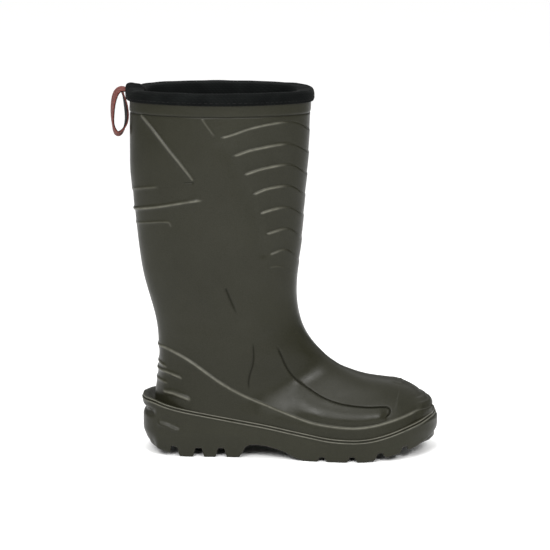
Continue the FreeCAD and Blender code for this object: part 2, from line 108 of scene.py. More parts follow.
class Line:
    """A line on the boot seen from the side, (x, z) in millimetres, used on both sides of the boot."""

    def __init__(self, points, reach=14.0):
        self.path = rounded_line(points)
        self.reach = reach
        self.low = self.path.min(0) - reach
        self.high = self.path.max(0) + reach
        runs = np.diff(self.path, axis=0)
        self.lengths = np.hypot(runs[:, 0], runs[:, 1])
        self.starts = np.concatenate([[0], np.cumsum(self.lengths)[:-1]])
        self.length = self.lengths.sum()
        self.along = runs / self.lengths[:, None]

    def field(self, spots, everywhere=False):
        """Signed distance, positive to the right of the line's run, and the length along it."""
        distance = np.full(len(spots), 1e3)
        where = np.zeros(len(spots))
        near = np.all((spots > self.low) & (spots < self.high), axis=1)
        if everywhere:
            near[:] = True
        index = np.nonzero(near)[0]
        for chunk in np.array_split(index, max(1, len(index) // 20000)):
            if not len(chunk):
                continue
            rel = spots[chunk][:, None, :] - self.path[None, :-1, :]
            run = np.clip((rel * self.along[None]).sum(-1), 0, self.lengths[None])
            gap = rel - run[..., None] * self.along[None]
            size = np.hypot(gap[..., 0], gap[..., 1])
            best = size.argmin(1)
            rows = np.arange(len(chunk))
            side = self.along[best, 1] * rel[rows, best, 0] - self.along[best, 0] * rel[rows, best, 1]
            distance[chunk] = np.where(side >= 0, 1.0, -1.0) * size[rows, best]
            where[chunk] = self.starts[best] + run[rows, best]
        return distance, where

    def taper(self, where, head, tail):
        """1 along the line, falling to 0 over head and tail millimetres at its ends."""
        value = np.ones_like(where)
        if head:
            value *= smoothstep(where / head)
        if tail:
            value *= smoothstep((self.length - where) / tail)
        return value


# ---------------------------------------------------------------- the boot's form

# Sections of the upper, as in the CAD model: each stands on a line from the back or sole side (x, z) to the
# front or instep side (x, z), with its middle's y, half width, place of the widest point, squareness of its
# two ends, how much a wall lengthens along the line at each end, and how far it draws back from the toe.
STATIONS = (
    (-86.2, 384.0, 104.0, 384.0, 0.0, 62.2, 0.50, 0.55, 0.55, 1.0, 1.0, 0.0),
    (-87.2, 350.0, 102.6, 350.0, 0.0, 61.8, 0.50, 0.55, 0.55, 1.0, 1.0, 0.0),
    (-87.0, 312.0, 100.8, 312.0, 0.0, 60.3, 0.50, 0.55, 0.55, 1.0, 1.0, 0.0),
    (-83.4, 272.0, 97.4, 272.0, 0.0, 57.5, 0.50, 0.55, 0.55, 1.0, 1.0, 0.0),
    (-79.4, 229.0, 94.2, 229.0, 0.0, 54.0, 0.50, 0.55, 0.55, 1.0, 1.0, 0.0),
    (-72.0, 184.0, 89.8, 186.0, 0.0, 49.5, 0.50, 0.55, 0.55, 1.02, 1.0, 0.0),
    (-61.6, 144.0, 91.2, 155.0, 0.0, 47.0, 0.50, 0.55, 0.53, 1.04, 1.0, 0.0),
    (-59.4, 112.0, 98.5, 132.0, 0.0, 46.0, 0.50, 0.56, 0.50, 1.0, 1.04, 0.0),
    (-61.6, 84.0, 108.0, 117.5, 0.0, 45.0, 0.50, 0.58, 0.47, 1.0, 1.06, 0.0),
    (-65.2, 52.0, 115.2, 109.7, 0.0, 43.5, 0.47, 0.64, 0.45, 1.05, 1.1, 0.0),
    (-57.0, 30.0, 122.0, 103.0, 0.0, 42.5, 0.42, 0.74, 0.43, 1.3, 1.1, 0.0),
    (-30.0, 25.5, 129.0, 97.8, 0.0, 42.0, 0.38, 0.80, 0.42, 2.35, 1.12, 0.0),
    (8.0, 25.0, 137.0, 92.8, 0.0, 42.5, 0.38, 0.82, 0.42, 1.95, 1.15, 0.0),
    (46.0, 22.0, 146.0, 89.0, 0.0, 45.0, 0.38, 0.84, 0.44, 1.7, 1.2, 0.0),
    (84.0, 15.5, 156.0, 85.5, -1.0, 48.5, 0.38, 0.86, 0.46, 1.4, 1.15, 0.0),
    (120.0, 11.0, 168.0, 82.2, -1.0, 51.0, 0.38, 0.88, 0.48, 1.2, 1.08, 0.0),
    (152.0, 11.5, 181.0, 80.0, 0.0, 50.5, 0.38, 0.88, 0.50, 1.1, 1.03, 0.0),
    (182.0, 14.5, 196.5, 77.3, 2.0, 46.5, 0.40, 0.86, 0.52, 1.05, 1.05, 0.05),
    (206.0, 19.5, 211.5, 72.3, 4.5, 39.5, 0.42, 0.80, 0.55, 1.1, 1.2, 0.2),
    (226.0, 26.5, 226.5, 63.0, 6.5, 28.0, 0.45, 0.70, 0.60, 0.8, 0.8, 0.7),
    (236.5, 33.5, 236.5, 53.0, 7.0, 15.0, 0.50, 0.60, 0.60, 0.4, 0.4, 1.0),
)


def station_rings(inset):
    """The eight poles of each section, taken in by inset: an array of sections, poles and x, y, z."""
    rings = []
    for row in STATIONS:
        back_x, back_z, front_x, front_z, side, half, middle, back_f, front_f, back_k, front_k, draw = row
        back = np.array([back_x - inset * draw, side, back_z])
        front = np.array([front_x - inset * draw, side, front_z])
        span = np.linalg.norm(front - back)
        along = (front - back) / span
        near = inset * back_k
        far = span - inset * front_k
        half -= inset
        widest = half * (6 - back_f - front_f) / 4
        plan = (
            (near, 0), (near, half * back_f), (span * middle, widest), (far, half * front_f),
            (far, 0), (far, -half * front_f), (span * middle, -widest), (near, -half * back_f),
        )
        rings.append([back + along * run + np.array([0, across, 0]) for run, across in plan])
    return np.array(rings)


def section_places():
    """Where each section comes along the boot, from 0 at the rim to 1 at the toe."""
    centres = station_rings(0).mean(1)
    steps = np.linalg.norm(np.diff(centres, axis=0), axis=1)
    return np.concatenate([[0], np.cumsum(steps)]) / steps.sum()


PLACES = section_places()


def form_points(turn, place, inset=0.0):
    """Points on the form: turn goes round, 0 at the back and 0.5 at the front, place goes from rim to toe."""
    rails = natural_spline(PLACES, station_rings(inset), place)
    return np.einsum("np,npk->nk", ring_weights(turn, 8), rails)


def form_normals(turn, place, inset=0.0):
    step = 1e-3
    around = form_points(turn + step, place, inset) - form_points(turn - step, place, inset)
    low = np.clip(place - step, 0, 1)
    high = np.clip(place + step, 0, 1)
    down = form_points(turn, high, inset) - form_points(turn, low, inset)
    normal = np.cross(around, down)
    size = np.linalg.norm(normal, axis=1, keepdims=True)
    return normal / np.maximum(size, 1e-9)


# ---------------------------------------------------------------- moulded detail of the upper

SHIN_RIBS = (
    (
        (13, 346.9), (23, 349.8), (35, 353.9), (47.5, 357.4), (71, 361.2), (88, 360.0), (98, 354.0),
        (104, 347.0),
    ),
    ((25.3, 327.6), (36, 331.5), (47, 334.4), (72, 338.2), (86, 337.0), (96, 331.0), (103, 323.5)),
    ((36.3, 307.9), (46, 311.4), (56, 313.9), (76, 316.8), (87, 314.5), (95, 308.0), (102, 299.5)),
    ((45.3, 286.8), (53, 290.2), (62, 292.8), (78.5, 294.3), (87, 291.5), (94, 285.0), (100, 276.5)),
    ((52, 266.0), (58, 268.2), (65, 269.9), (77, 271.4), (86, 268.5), (92, 263.0), (98, 255.5)),
    ((58.3, 243.6), (63, 245.2), (68.4, 246.6), (78.6, 248.3), (86, 245.0), (91, 239.0), (96, 230.0)),
    ((61.6, 221.0), (68.3, 223.7), (76.6, 225.6), (83, 222.5), (88, 216.0), (94, 205.0)),
    ((61, 207.5), (67.2, 208.2), (75, 207.0), (84, 200.0), (92, 192.0)),
)
RIB_HEIGHTS = (2.0, 2.0, 2.0, 2.0, 1.9, 1.7, 1.2, 0.3)
RIB_CREST = 0.9
RIB_PITCH = 21.0
# Share of a rib's height by which the whole ribbed field is sunk.
RIB_SINK = 0.45
RIB_EDGE = (
    (2, 356), (11, 345), (23, 326), (34, 306), (43, 285), (50, 264.5), (56, 242.5), (59, 220), (59, 200),
)

GALOSH = (
    (-68, 118.8), (-60, 118.6), (-54.7, 117.9), (-46.1, 116.5), (-22.5, 106.1), (3.0, 88.8), (24.0, 75.3),
    (44.8, 64.4),
    (72.8, 53.3), (96.7, 45.2), (116.3, 40.7), (142.3, 37.9), (159.5, 38.0), (175.8, 40.2), (194.2, 44.6),
    (208.5, 48.6), (220, 52.0), (245, 57.0),
)
VAMP = (
    (66, 128), (73.0, 112.3), (78.8, 98.3), (88.6, 84.2), (105.1, 72.7), (118.3, 65.6), (132.2, 61.2),
    (143.2, 59.0), (154.0, 57.7), (167.0, 56.7), (180.0, 56.7), (186.5, 56.2), (189.3, 53.8), (188.6, 50.8),
    (186.0, 48.2),
)
VAMP_CORNER_AT = 166.0
# How many of its points run along the panel's upper edge.
VAMP_TOP_POINTS = 12

# Narrow ridges and creases: points, height (negative for a crease), half width, head and tail taper.
STROKES = (
    (
        ((-73.5, 368.4), (-62.3, 356.1), (-51.5, 343.3), (-40.9, 330.4), (-30.4, 318.3), (-16.6, 301.0)),
        1.25, 1.35, 6, 3,
    ),
    (((-27, 298.6), (-15, 299.0)), -0.7, 1.1, 3, 3),
    (((-7.6, 366.6), (-0.7, 356.7), (6.5, 346.9)), 0.6, 1.4, 3, 8),
    (((-86, 285.5), (-71.4, 289.6), (-52.3, 292.4)), 0.55, 1.8, 0, 14),
    (((-84, 264.5), (-76.8, 266.6), (-50.5, 272.0), (-24.3, 277.8), (-6.6, 280.6)), 1.45, 1.7, 0, 10),
    (((-82, 250), (-58.6, 254.1), (-46, 255.6), (-42.4, 254.4), (-40.8, 249.5)), 0.5, 1.5, 0, 6),
    (((15.8, 187.4), (17.7, 181.4), (24.1, 166.1), (28.7, 155.2)), -0.9, 1.7, 5, 22),
    (((44.0, 128.0), (45.0, 108.0), (41.8, 94.2), (39.7, 84.3), (39.8, 73.7)), -1.0, 1.3, 16, 12),
    (((-66, 101.5), (-55.3, 98.5), (-47.0, 95.0)), 1.0, 1.7, 0, 6),
    (((-66, 92.5), (-50.4, 90.9), (-40.2, 88.7), (-30.3, 85.2)), 1.5, 1.6, 0, 5),
    (((-66, 81.5), (-57.4, 80.6), (-46.0, 78.2)), 0.9, 1.7, 0, 7),
    (((-54, 69.6), (-48.0, 69.0), (-40.2, 68.4), (-31.5, 66.2), (-21.7, 63.3)), 1.9, 2.2, 9, 4),
)
# Wide shallow hollows: points, depth, half width.
HOLLOWS = (
    (((13, 341), (19, 331), (26, 317), (33, 299), (41, 279), (48, 259), (53.0, 238), (56, 216)), 1.2, 5.0),
    (((-6, 180), (-14, 150), (-20, 128)), 1.2, 20.0),
    (((30, 176), (46, 150), (60, 130)), -0.9, 16.0),
)
RIM_GROOVE_Z = 367.2
TOE_CAP_X = 200.8
TOE_CAP_LEAN = 0.28
TOE_STEPS = ((63.2, 0.9), (58.6, 0.9), (51.6, 0.9))
TOE_DRAW = 2.4
GALOSH_HEIGHT = 1.6
VAMP_HEIGHT = 0.8
VAMP_SWELL = 1.9


def feature_lines():
    lines = [Line(points) for points, *_ in STROKES]
    lines += [Line(points) for points in SHIN_RIBS]
    lines += [Line(GALOSH), Line(VAMP)]
    return lines


def shin_ribs(side_view):
    """Overlapping scales on the shin: each starts with a sharp upper edge and dies away towards the next."""
    edge_distance, _ = Line(RIB_EDGE, 70).field(side_view)
    inside = smoothstep((-edge_distance + 2.0) / 13.0)
    inside *= 1.0 - 0.6 * smoothstep((side_view[:, 0] - 78.0) / 10.0)
    best = np.full(len(side_view), 1e3)
    height = np.zeros(len(side_view))
    crest = np.zeros(len(side_view))
    for points, size in zip(SHIN_RIBS, RIB_HEIGHTS):
        line = Line(points, 30)
        below, where = line.field(side_view)
        here = (below > -0.8) & (below < best) & (below < 1.6 * RIB_PITCH)
        fall = 1.0 - 0.95 * np.clip(below / RIB_PITCH, 0, 1) ** 1.2
        rise = smoothstep((below + 0.8) / 2.2)
        height[here] = (size * (rise * fall - RIB_SINK))[here]
        best[here] = below[here]
        edge = bell(below - 0.7, 1.0) * line.taper(where, 3, 0)
        crest = np.maximum(crest, edge * size / 2.0)
    # The returned crest mask paints a highlight along each rib's upper edge.
    crest *= smoothstep((82.0 - side_view[:, 0]) / 16.0)
    return height * inside + RIB_CREST * crest, crest


def strokes(side_view):
    height = np.zeros(len(side_view))
    crest = np.zeros(len(side_view))
    for points, size, half_width, head, tail in STROKES:
        line = Line(points, 4 * half_width)
        distance, where = line.field(side_view)
        height += size * bell(distance, half_width) * line.taper(where, head, tail)
        # Each stroke's middle carries painted light: a painted highlight on ridges, painted shade in creases.
        top = bell(distance, 0.6 * half_width) * line.taper(where, 0.5 * head, 0.6 * tail)
        crest = np.where(top > np.abs(crest), top * np.clip(size / 1.4, -1, 1), crest)
    for points, depth, half_width in HOLLOWS:
        line = Line(points, 3 * half_width)
        distance, where = line.field(side_view)
        height -= depth * bell(distance, half_width) * line.taper(where, half_width, half_width)
    return height, crest


def galosh(points, side_view):
    """The raised band round the foot, with a rolled upper edge."""
    distance, _ = Line(GALOSH, 1e3).field(side_view, everywhere=True)
    fade = smoothstep((224.0 - points[:, 0]) / 14.0)
    ahead_of_heel = 0.3 + 0.7 * smoothstep((points[:, 0] + 62.0) / 18.0)
    lip = bell(distance - 0.8, 1.0)
    height = GALOSH_HEIGHT * smoothstep((distance + 1.0) / 2.4) * ahead_of_heel + 0.5 * lip
    # The lip is returned as the crest mask, which paints a highlight along it.
    return height * fade, lip * fade


def vamp_panel(points, side_view):
    """The side panel of the forefoot: a crease along its upper edge and a rounded corner at its front."""
    line = Line(VAMP)
    distance, where = line.field(side_view)
    corner = smoothstep((where - VAMP_CORNER_AT) / 8.0)
    x, _, z = points.T
    upper_edge = np.array(VAMP[:VAMP_TOP_POINTS])
    lower_edge = np.array(GALOSH)
    top = np.interp(x, upper_edge[:, 0], upper_edge[:, 1])
    bottom = np.interp(x, lower_edge[:, 0], lower_edge[:, 1])
    share = np.clip((z - bottom) / np.maximum(top - bottom, 1.0), 0, 1)
    panel = VAMP_HEIGHT * smoothstep((top - z + 0.4) / 1.2) * smoothstep(share / 0.3)
    panel += 4 * VAMP_SWELL * share * (1 - share)
    panel *= smoothstep((x - 76.0) / 30.0) * smoothstep((187.0 - x) / 9.0)
    crease = bell(distance + 0.4, 0.75) * smoothstep((where - 4) / 14) * (1 - corner)
    edge = bell(distance - 0.8, 0.9) * corner * line.taper(where, 0, 8)
    upright = smoothstep((np.abs(points[:, 1]) - 6.0) / 8.0)
    # The second value is painted light: a painted highlight on the corner's edge and painted shade in the
    # crease.
    return (panel - 1.4 * crease + 0.6 * edge) * upright, (0.6 * edge - 0.7 * crease) * upright


def toe_detail(points):
    x, y, z = points.T
    edge = TOE_CAP_X - TOE_CAP_LEAN * (76.0 - z)
    cap = 0.45 * smoothstep((x - edge + 0.5) / 1.2) * smoothstep((z - 52.0) / 8.0)
    top_rib = 0.6 * smoothstep((x - 189.5) / 5.0) * smoothstep((205.5 - x) / 4.0)
    top_rib *= smoothstep((16.0 - np.abs(y - 3.0)) / 5.0) * smoothstep((z - 60) / 5)
    steps = np.zeros_like(x)
    for level, size in TOE_STEPS:
        steps += size * smoothstep((level - z) / 1.3)
    draw = TOE_DRAW * smoothstep((x - 196.0) / 36.0)
    return cap + top_rib + steps * smoothstep((x - 216.0) / 8.0) - draw


def rim_band(points):
    z = points[:, 2]
    groove = bell(z - RIM_GROOVE_Z, 0.7)
    band = 0.5 * smoothstep((z - RIM_GROOVE_Z - 0.5) / 2.0)
    # The groove is returned as a negative crest mask, which paints shade in it.
    return band - 0.7 * groove, -0.6 * groove


def back_steps(points):
    """The calf guard stands a little proud above the two upper back ridges, and the heel is drawn in."""
    x, _, z = points.T
    behind = smoothstep((-70.0 - x) / 12.0)
    upper = 0.5 * smoothstep((z - 285.5) / 3.5) * smoothstep((330.0 - z) / 30.0)
    lower = 0.4 * smoothstep((z - 262.0) / 2.5) * smoothstep((284.0 - z) / 14.0)
    heel_draw = 1.7 * smoothstep((118.0 - z) / 8.0) * smoothstep((-50.0 - x) / 12.0)
    return (upper + lower) * behind - heel_draw


def moulding(points):
    """How far the moulding stands out of the form, in millimetres, and the crest mask for painted light: 1 on
    its crests for a painted highlight, -1 in its creases for painted shade.
    """
    side_view = points[:, [0, 2]]
    height, crest = rim_band(points)
    height += toe_detail(points) + back_steps(points)
    parts = (
        shin_ribs(side_view), strokes(side_view), galosh(points, side_view), vamp_panel(points, side_view),
    )
    for part_height, part_crest in parts:
        height += part_height
        crest = np.where(np.abs(part_crest) > np.abs(crest), part_crest, crest)
    return height, crest


def hand_made_unevenness(points, scale, size):
    """Slow, small waves that a foamed moulding has."""
    return np.array([size * noise.noise(Vector(p) / scale) for p in points])


# ---------------------------------------------------------------- mesh helpers

def make_object(name, points, faces, smooth=True):
    mesh = bpy.data.meshes.new(name)
    places = [tuple(point) for point in np.asarray(points) * MM]
    mesh.from_pydata(places, [], [tuple(int(index) for index in face) for face in faces])
    mesh.update()
    if smooth:
        mesh.polygons.foreach_set("use_smooth", [True] * len(mesh.polygons))
    piece = bpy.data.objects.new(name, mesh)
    bpy.context.scene.collection.objects.link(piece)
    return piece


def grid_faces(rows, columns, closed=True, offset=0):
    faces = []
    last = columns if closed else columns - 1
    for row in range(rows - 1):
        for column in range(last):
            a = offset + row * columns + column
            b = offset + row * columns + (column + 1) % columns
            faces.append((a, b, b + columns, a + columns))
    return faces


def dress(piece, body, slot, material, *replaced):
    """Finishes a piece: its material, its body and the CAD nodes that it stands for; its slot name is not
    used.
    """
    piece.data.materials.clear()
    piece.data.materials.append(material)
    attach(piece, body)
    if replaced:
        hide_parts(*replaced)


def outward(piece):
    """Turns every face outwards and joins doubled points."""
    work = bmesh.new()
    work.from_mesh(piece.data)
    bmesh.ops.remove_doubles(work, verts=work.verts, dist=1e-6)
    bmesh.ops.recalc_face_normals(work, faces=work.faces)
    work.to_mesh(piece.data)
    work.free()
    piece.data.update()


# ---------------------------------------------------------------- upper shell

# Name of the point attribute that carries painted light: a painted highlight on crests, painted shade in
# creases.
PAINTED_LIGHT_ATTRIBUTE = "crest"
UPPER_COLUMNS = 112
UPPER_ROWS = 150
# How near to a moulded line the mesh is divided again: distance in millimetres for each division.
DIVISIONS = (9.0, 4.5, 2.2)
UNEVEN_SCALE = 38.0
UNEVEN_SIZE = 0.35
# The cut edge at the rim: its middle, how wide it is and how far the skin turns down inside it.
RIM_CENTRE_X = 8.3
RIM_ABOVE = 370
CUT_EDGE_WIDTH = 4.2
CUT_EDGE_DEPTH = 20.0


def flat_sheet():
    """The form's skin laid flat, x going round and y from rim to toe, finer where the moulding has detail."""
    work = bmesh.new()
    turns = np.linspace(0, 1, UPPER_COLUMNS + 1)
    places = np.linspace(0, 1, UPPER_ROWS + 1)
    rows = [[work.verts.new((turn, place, 0)) for turn in turns] for place in places]
    for low, high in zip(rows, rows[1:]):
        for i in range(UPPER_COLUMNS):
            work.faces.new((low[i], low[i + 1], high[i + 1], high[i]))
    lines = feature_lines()
    for reach in DIVISIONS:
        work.edges.ensure_lookup_table()
        middles = np.array([((a.co + b.co) / 2)[:2] for a, b in (edge.verts for edge in work.edges)])
        points = form_points(middles[:, 0], middles[:, 1])
        side_view = points[:, [0, 2]]
        close = np.full(len(points), 1e3)
        for line in lines:
            distance, _ = line.field(side_view)
            close = np.minimum(close, np.abs(distance))
        close = np.minimum(close, np.abs(points[:, 2] - RIM_GROOVE_Z))
        toe = (np.abs(points[:, 0] - TOE_CAP_X) < reach) & (points[:, 2] > 50)
        bumper = (points[:, 0] > 216) & (points[:, 2] > 46) & (reach > 3)
        hidden = points[:, 2] < np.interp(points[:, 0], SOLE_TOP[:, 0], SOLE_TOP[:, 1]) - 6.0
        off_seam = (middles[:, 0] > 1e-6) & (middles[:, 0] < 1 - 1e-6)
        chosen = ((close < reach) | toe | bumper) & ~hidden & off_seam
        edges = [edge for edge, wanted in zip(work.edges, chosen) if wanted]
        bmesh.ops.subdivide_edges(work, edges=edges, cuts=1, use_grid_fill=True)
    return work


def flare_to_sole(points):
    """Brings the foot of the upper out to the sole's edge, except behind the heel, where a ledge shows."""
    height = points[:, 2] - np.interp(points[:, 0], SOLE_TOP[:, 0], SOLE_TOP[:, 1])
    share = smoothstep((FLARE_HEIGHT - height) / FLARE_HEIGHT) * smoothstep((points[:, 0] + 46.0) / 34.0)
    moved = points.copy()
    outline, outside = sole_outline()
    chosen = np.nonzero((share > 0) & (height > -14.0))[0]
    for chunk in np.array_split(chosen, max(1, len(chosen) // 4000)):
        gap = outline[None] - points[chunk, None, :2]
        nearest = (gap**2).sum(-1).argmin(1)
        inward = (gap[np.arange(len(chunk)), nearest] * outside[nearest]).sum(-1)
        wanted = FLARE_INSET + 0.10 * np.maximum(height[chunk], 0)
        push = np.maximum(inward - wanted, 0) * share[chunk]
        moved[chunk, :2] += outside[nearest] * push[:, None]
    return moved


def make_upper(material):
    work = flat_sheet()
    work.verts.ensure_lookup_table()
    flat = np.array([v.co[:2] for v in work.verts])
    plain = form_points(flat[:, 0], flat[:, 1])
    height, crest = moulding(plain)
    height += hand_made_unevenness(plain, UNEVEN_SCALE, UNEVEN_SIZE)
    outside = flare_to_sole(plain) + form_normals(flat[:, 0], flat[:, 1]) * height[:, None]
    # The crest mask is stored on the points for the material's painted highlight and painted shade.
    painted_light = work.verts.layers.float.new(PAINTED_LIGHT_ATTRIBUTE)
    for vert, point, share in zip(work.verts, outside, crest):
        vert.co = Vector(point)
        vert[painted_light] = share
    bmesh.ops.remove_doubles(work, verts=work.verts, dist=1e-3)
    rim = [edge for edge in work.edges if edge.is_boundary and edge.verts[0].co.z > RIM_ABOVE]
    toe = [edge for edge in work.edges if edge.is_boundary and edge.verts[0].co.z < RIM_ABOVE]
    bmesh.ops.holes_fill(work, edges=toe)
    inner_ring = bmesh.ops.extrude_edge_only(work, edges=rim)
    new_verts = [item for item in inner_ring["geom"] if isinstance(item, bmesh.types.BMVert)]
    centre = Vector((RIM_CENTRE_X, 0, 0))
    for vert in new_verts:
        flat_place = Vector((vert.co.x, vert.co.y, 0)) - centre
        shrink = 1 - CUT_EDGE_WIDTH / flat_place.length
        vert.co.x, vert.co.y = (centre + flat_place * shrink)[:2]
    new_edges = [item for item in inner_ring["geom"] if isinstance(item, bmesh.types.BMEdge)]
    lower = bmesh.ops.extrude_edge_only(work, edges=new_edges)
    for item in lower["geom"]:
        if isinstance(item, bmesh.types.BMVert):
            item.co.z -= CUT_EDGE_DEPTH
    bmesh.ops.recalc_face_normals(work, faces=work.faces)
    for vert in work.verts:
        vert.co *= MM
    mesh = bpy.data.meshes.new("shell_skin")
    work.to_mesh(mesh)
    work.free()
    mesh.polygons.foreach_set("use_smooth", [True] * len(mesh.polygons))
    piece = bpy.data.objects.new("shell_skin", mesh)
    bpy.context.scene.collection.objects.link(piece)
    dress(piece, "boot", "olive_shell", material, "upper_shell")


# ---------------------------------------------------------------- sole

# Sole from above: poles of a closed spline, heel first and then along the outer side.
SOLE_PLAN = np.array((
    (-77.5, 0), (-74, -29), (-52, -43), (-15, -44.5), (25, -44.5), (65, -47), (105, -53), (140, -58),
    (180, -55),
    (214, -42), (237.5, -20), (244, 8), (237.5, 34), (212, 50), (175, 54), (140, 54), (105, 50), (65, 45),
    (25, 43.5),
    (-15, 43.5), (-52, 42.5), (-74, 29),
), float)
# Height of the sole's upper lip, and of its underside without the grooves, against x.
SOLE_TOP = np.array((
    (-80, 59.5), (-64, 59.6), (-55, 57.0), (-47, 54.7), (-37, 52.3), (-14, 47.8), (8, 43.8), (35, 39.0),
    (61, 34.6),
    (84, 30.2), (106, 26.3), (122, 23.6), (142, 22.0), (163, 22.4), (181, 25.6), (198, 30.4), (212, 35.0),
    (225, 39.0), (236, 42.0), (250, 44),
), float)
SOLE_BOTTOM = np.array((
    (-90, 17), (-76, 16), (-70, 12.0), (-63, 8.4), (-56, 6.2), (-50, 4.2), (-44, 2.2), (-38, 0.7), (-32, 0),
    (24, 0),
    (28, 0.4), (31, 3.0),
    (34, 9.5), (37, 13.5), (41, 15.2), (48, 15.5), (57, 14.6), (68, 11.8), (78, 8.6), (84, 5.2), (90, 2.4),
    (98, 0.5),
    (106, 0), (162, 0), (174, 1.9), (190, 5.2), (207, 9.2), (217, 11.5), (229, 16.5), (238, 22.0), (250, 31),
), float)
# Grooves across the tread: middle, depth, half width at the crown and at the mouth.
GROOVES = (
    (-41.0, 9.6, 2.8, 6.4), (-14.6, 10.0, 2.8, 6.4), (9.6, 10.0, 2.8, 6.4),
    (117.6, 4.8, 1.8, 5.6), (149.8, 5.6, 1.8, 6.0), (179.6, 6.2, 2.0, 6.2), (205.8, 5.6, 1.8, 5.2),
)
SOLE_COLUMNS = 900
FLARE_HEIGHT = 27.0
FLARE_INSET = 3.4
WALL_ROWS = 26
HEEL_DRAFT = 5.0
# Rows of the lip's profile painted pale as a highlight.
LIP_HIGHLIGHT_ROWS = (3, 4, 11, 12)
BOTTOM_RINGS = 44
# The heel spur is a little lower on its inner side.
INNER_HEEL_DROP = 2.5
SEAT_RINGS = 8


def groove_depth(x):
    """Depth of the cross grooves at each point of the tread."""
    depth = np.zeros_like(x)
    for middle, size, crown, mouth in GROOVES:
        share = 1 - smoothstep((np.abs(x - middle) - crown) / (mouth - crown))
        depth = np.maximum(depth, size * share)
    return depth


def inner_tread(x, y, share):
    """Shallower channels between the edge lugs and the inner lugs. share is 1 at the sole's edge."""
    edge_channel = 3.2 * np.exp(-(((share - 0.70) / 0.035) ** 4))
    slant = x + 0.55 * np.abs(y - 2.0)
    bars = 3.2 * smoothstep((np.cos(slant * 2 * math.pi / 26.0) - 0.55) / 0.25)
    middle = 3.2 * smoothstep((2.2 - np.abs(y - 2.0)) / 1.2)
    flat_parts = smoothstep((-42 - x) / 4.0) + smoothstep((x - 30) / 3.0) * smoothstep((88 - x) / 4.0)
    inner_channels = np.maximum(bars, middle) * smoothstep((0.68 - share) / 0.03)
    return np.maximum(edge_channel, inner_channels) * (1 - np.clip(flat_parts, 0, 1))


def sole_bottom(x, y, share):
    base = np.interp(x, SOLE_BOTTOM[:, 0], SOLE_BOTTOM[:, 1])
    return base + np.maximum(groove_depth(x), inner_tread(x, y, share))


def wall_offset(x, z):
    """How far the sole's wall stands out of its plan outline at height z."""
    behind = smoothstep((-58.0 - x) / 10.0)
    cup = -4.2 * bell(z - 48.0, 3.4) + 0.6 * smoothstep((z - 52.0) / 3.0)
    under = -5.6 * smoothstep((28.0 - z) / 20.0)
    beside_heel = smoothstep((44.0 - x) / 20.0) * smoothstep((x + 70.0) / 20.0)
    draft = -HEEL_DRAFT * smoothstep((28.0 - z) / 28.0) * beside_heel
    ahead = smoothstep((x - 205.0) / 20.0)
    nose = -2.6 * smoothstep((z - 37.0) / 7.0) - 1.6 * smoothstep((30.0 - z) / 12.0)
    return behind * (cup + under) + draft + ahead * nose


def heel_bumper(x, z):
    """A raised bar on each side of the heel, above a shallow hollow."""
    line = Line(((-60, 38.5), (-54.8, 36.2), (-47.1, 34.0), (-39.6, 30.9), (-30, 29.0)), 16)
    distance, where = line.field(np.column_stack([x, z]))
    hollow = -1.3 * bell(distance + 6.0, 4.0) * line.taper(where, 6, 12)
    return 1.9 * bell(distance, 1.8) * line.taper(where, 6, 8) + hollow


def sole_outline():
    """The sole's edge from above and the direction square to it, outwards."""
    turns = np.arange(SOLE_COLUMNS) / SOLE_COLUMNS
    outline = ring_weights(turns, len(SOLE_PLAN)) @ SOLE_PLAN
    ahead = np.roll(outline, -1, axis=0) - np.roll(outline, 1, axis=0)
    outside = np.column_stack([ahead[:, 1], -ahead[:, 0]])
    outside /= np.linalg.norm(outside, axis=1, keepdims=True)
    if ((outline - outline.mean(0)) * outside).sum() < 0:
        outside *= -1
    return outline, outside


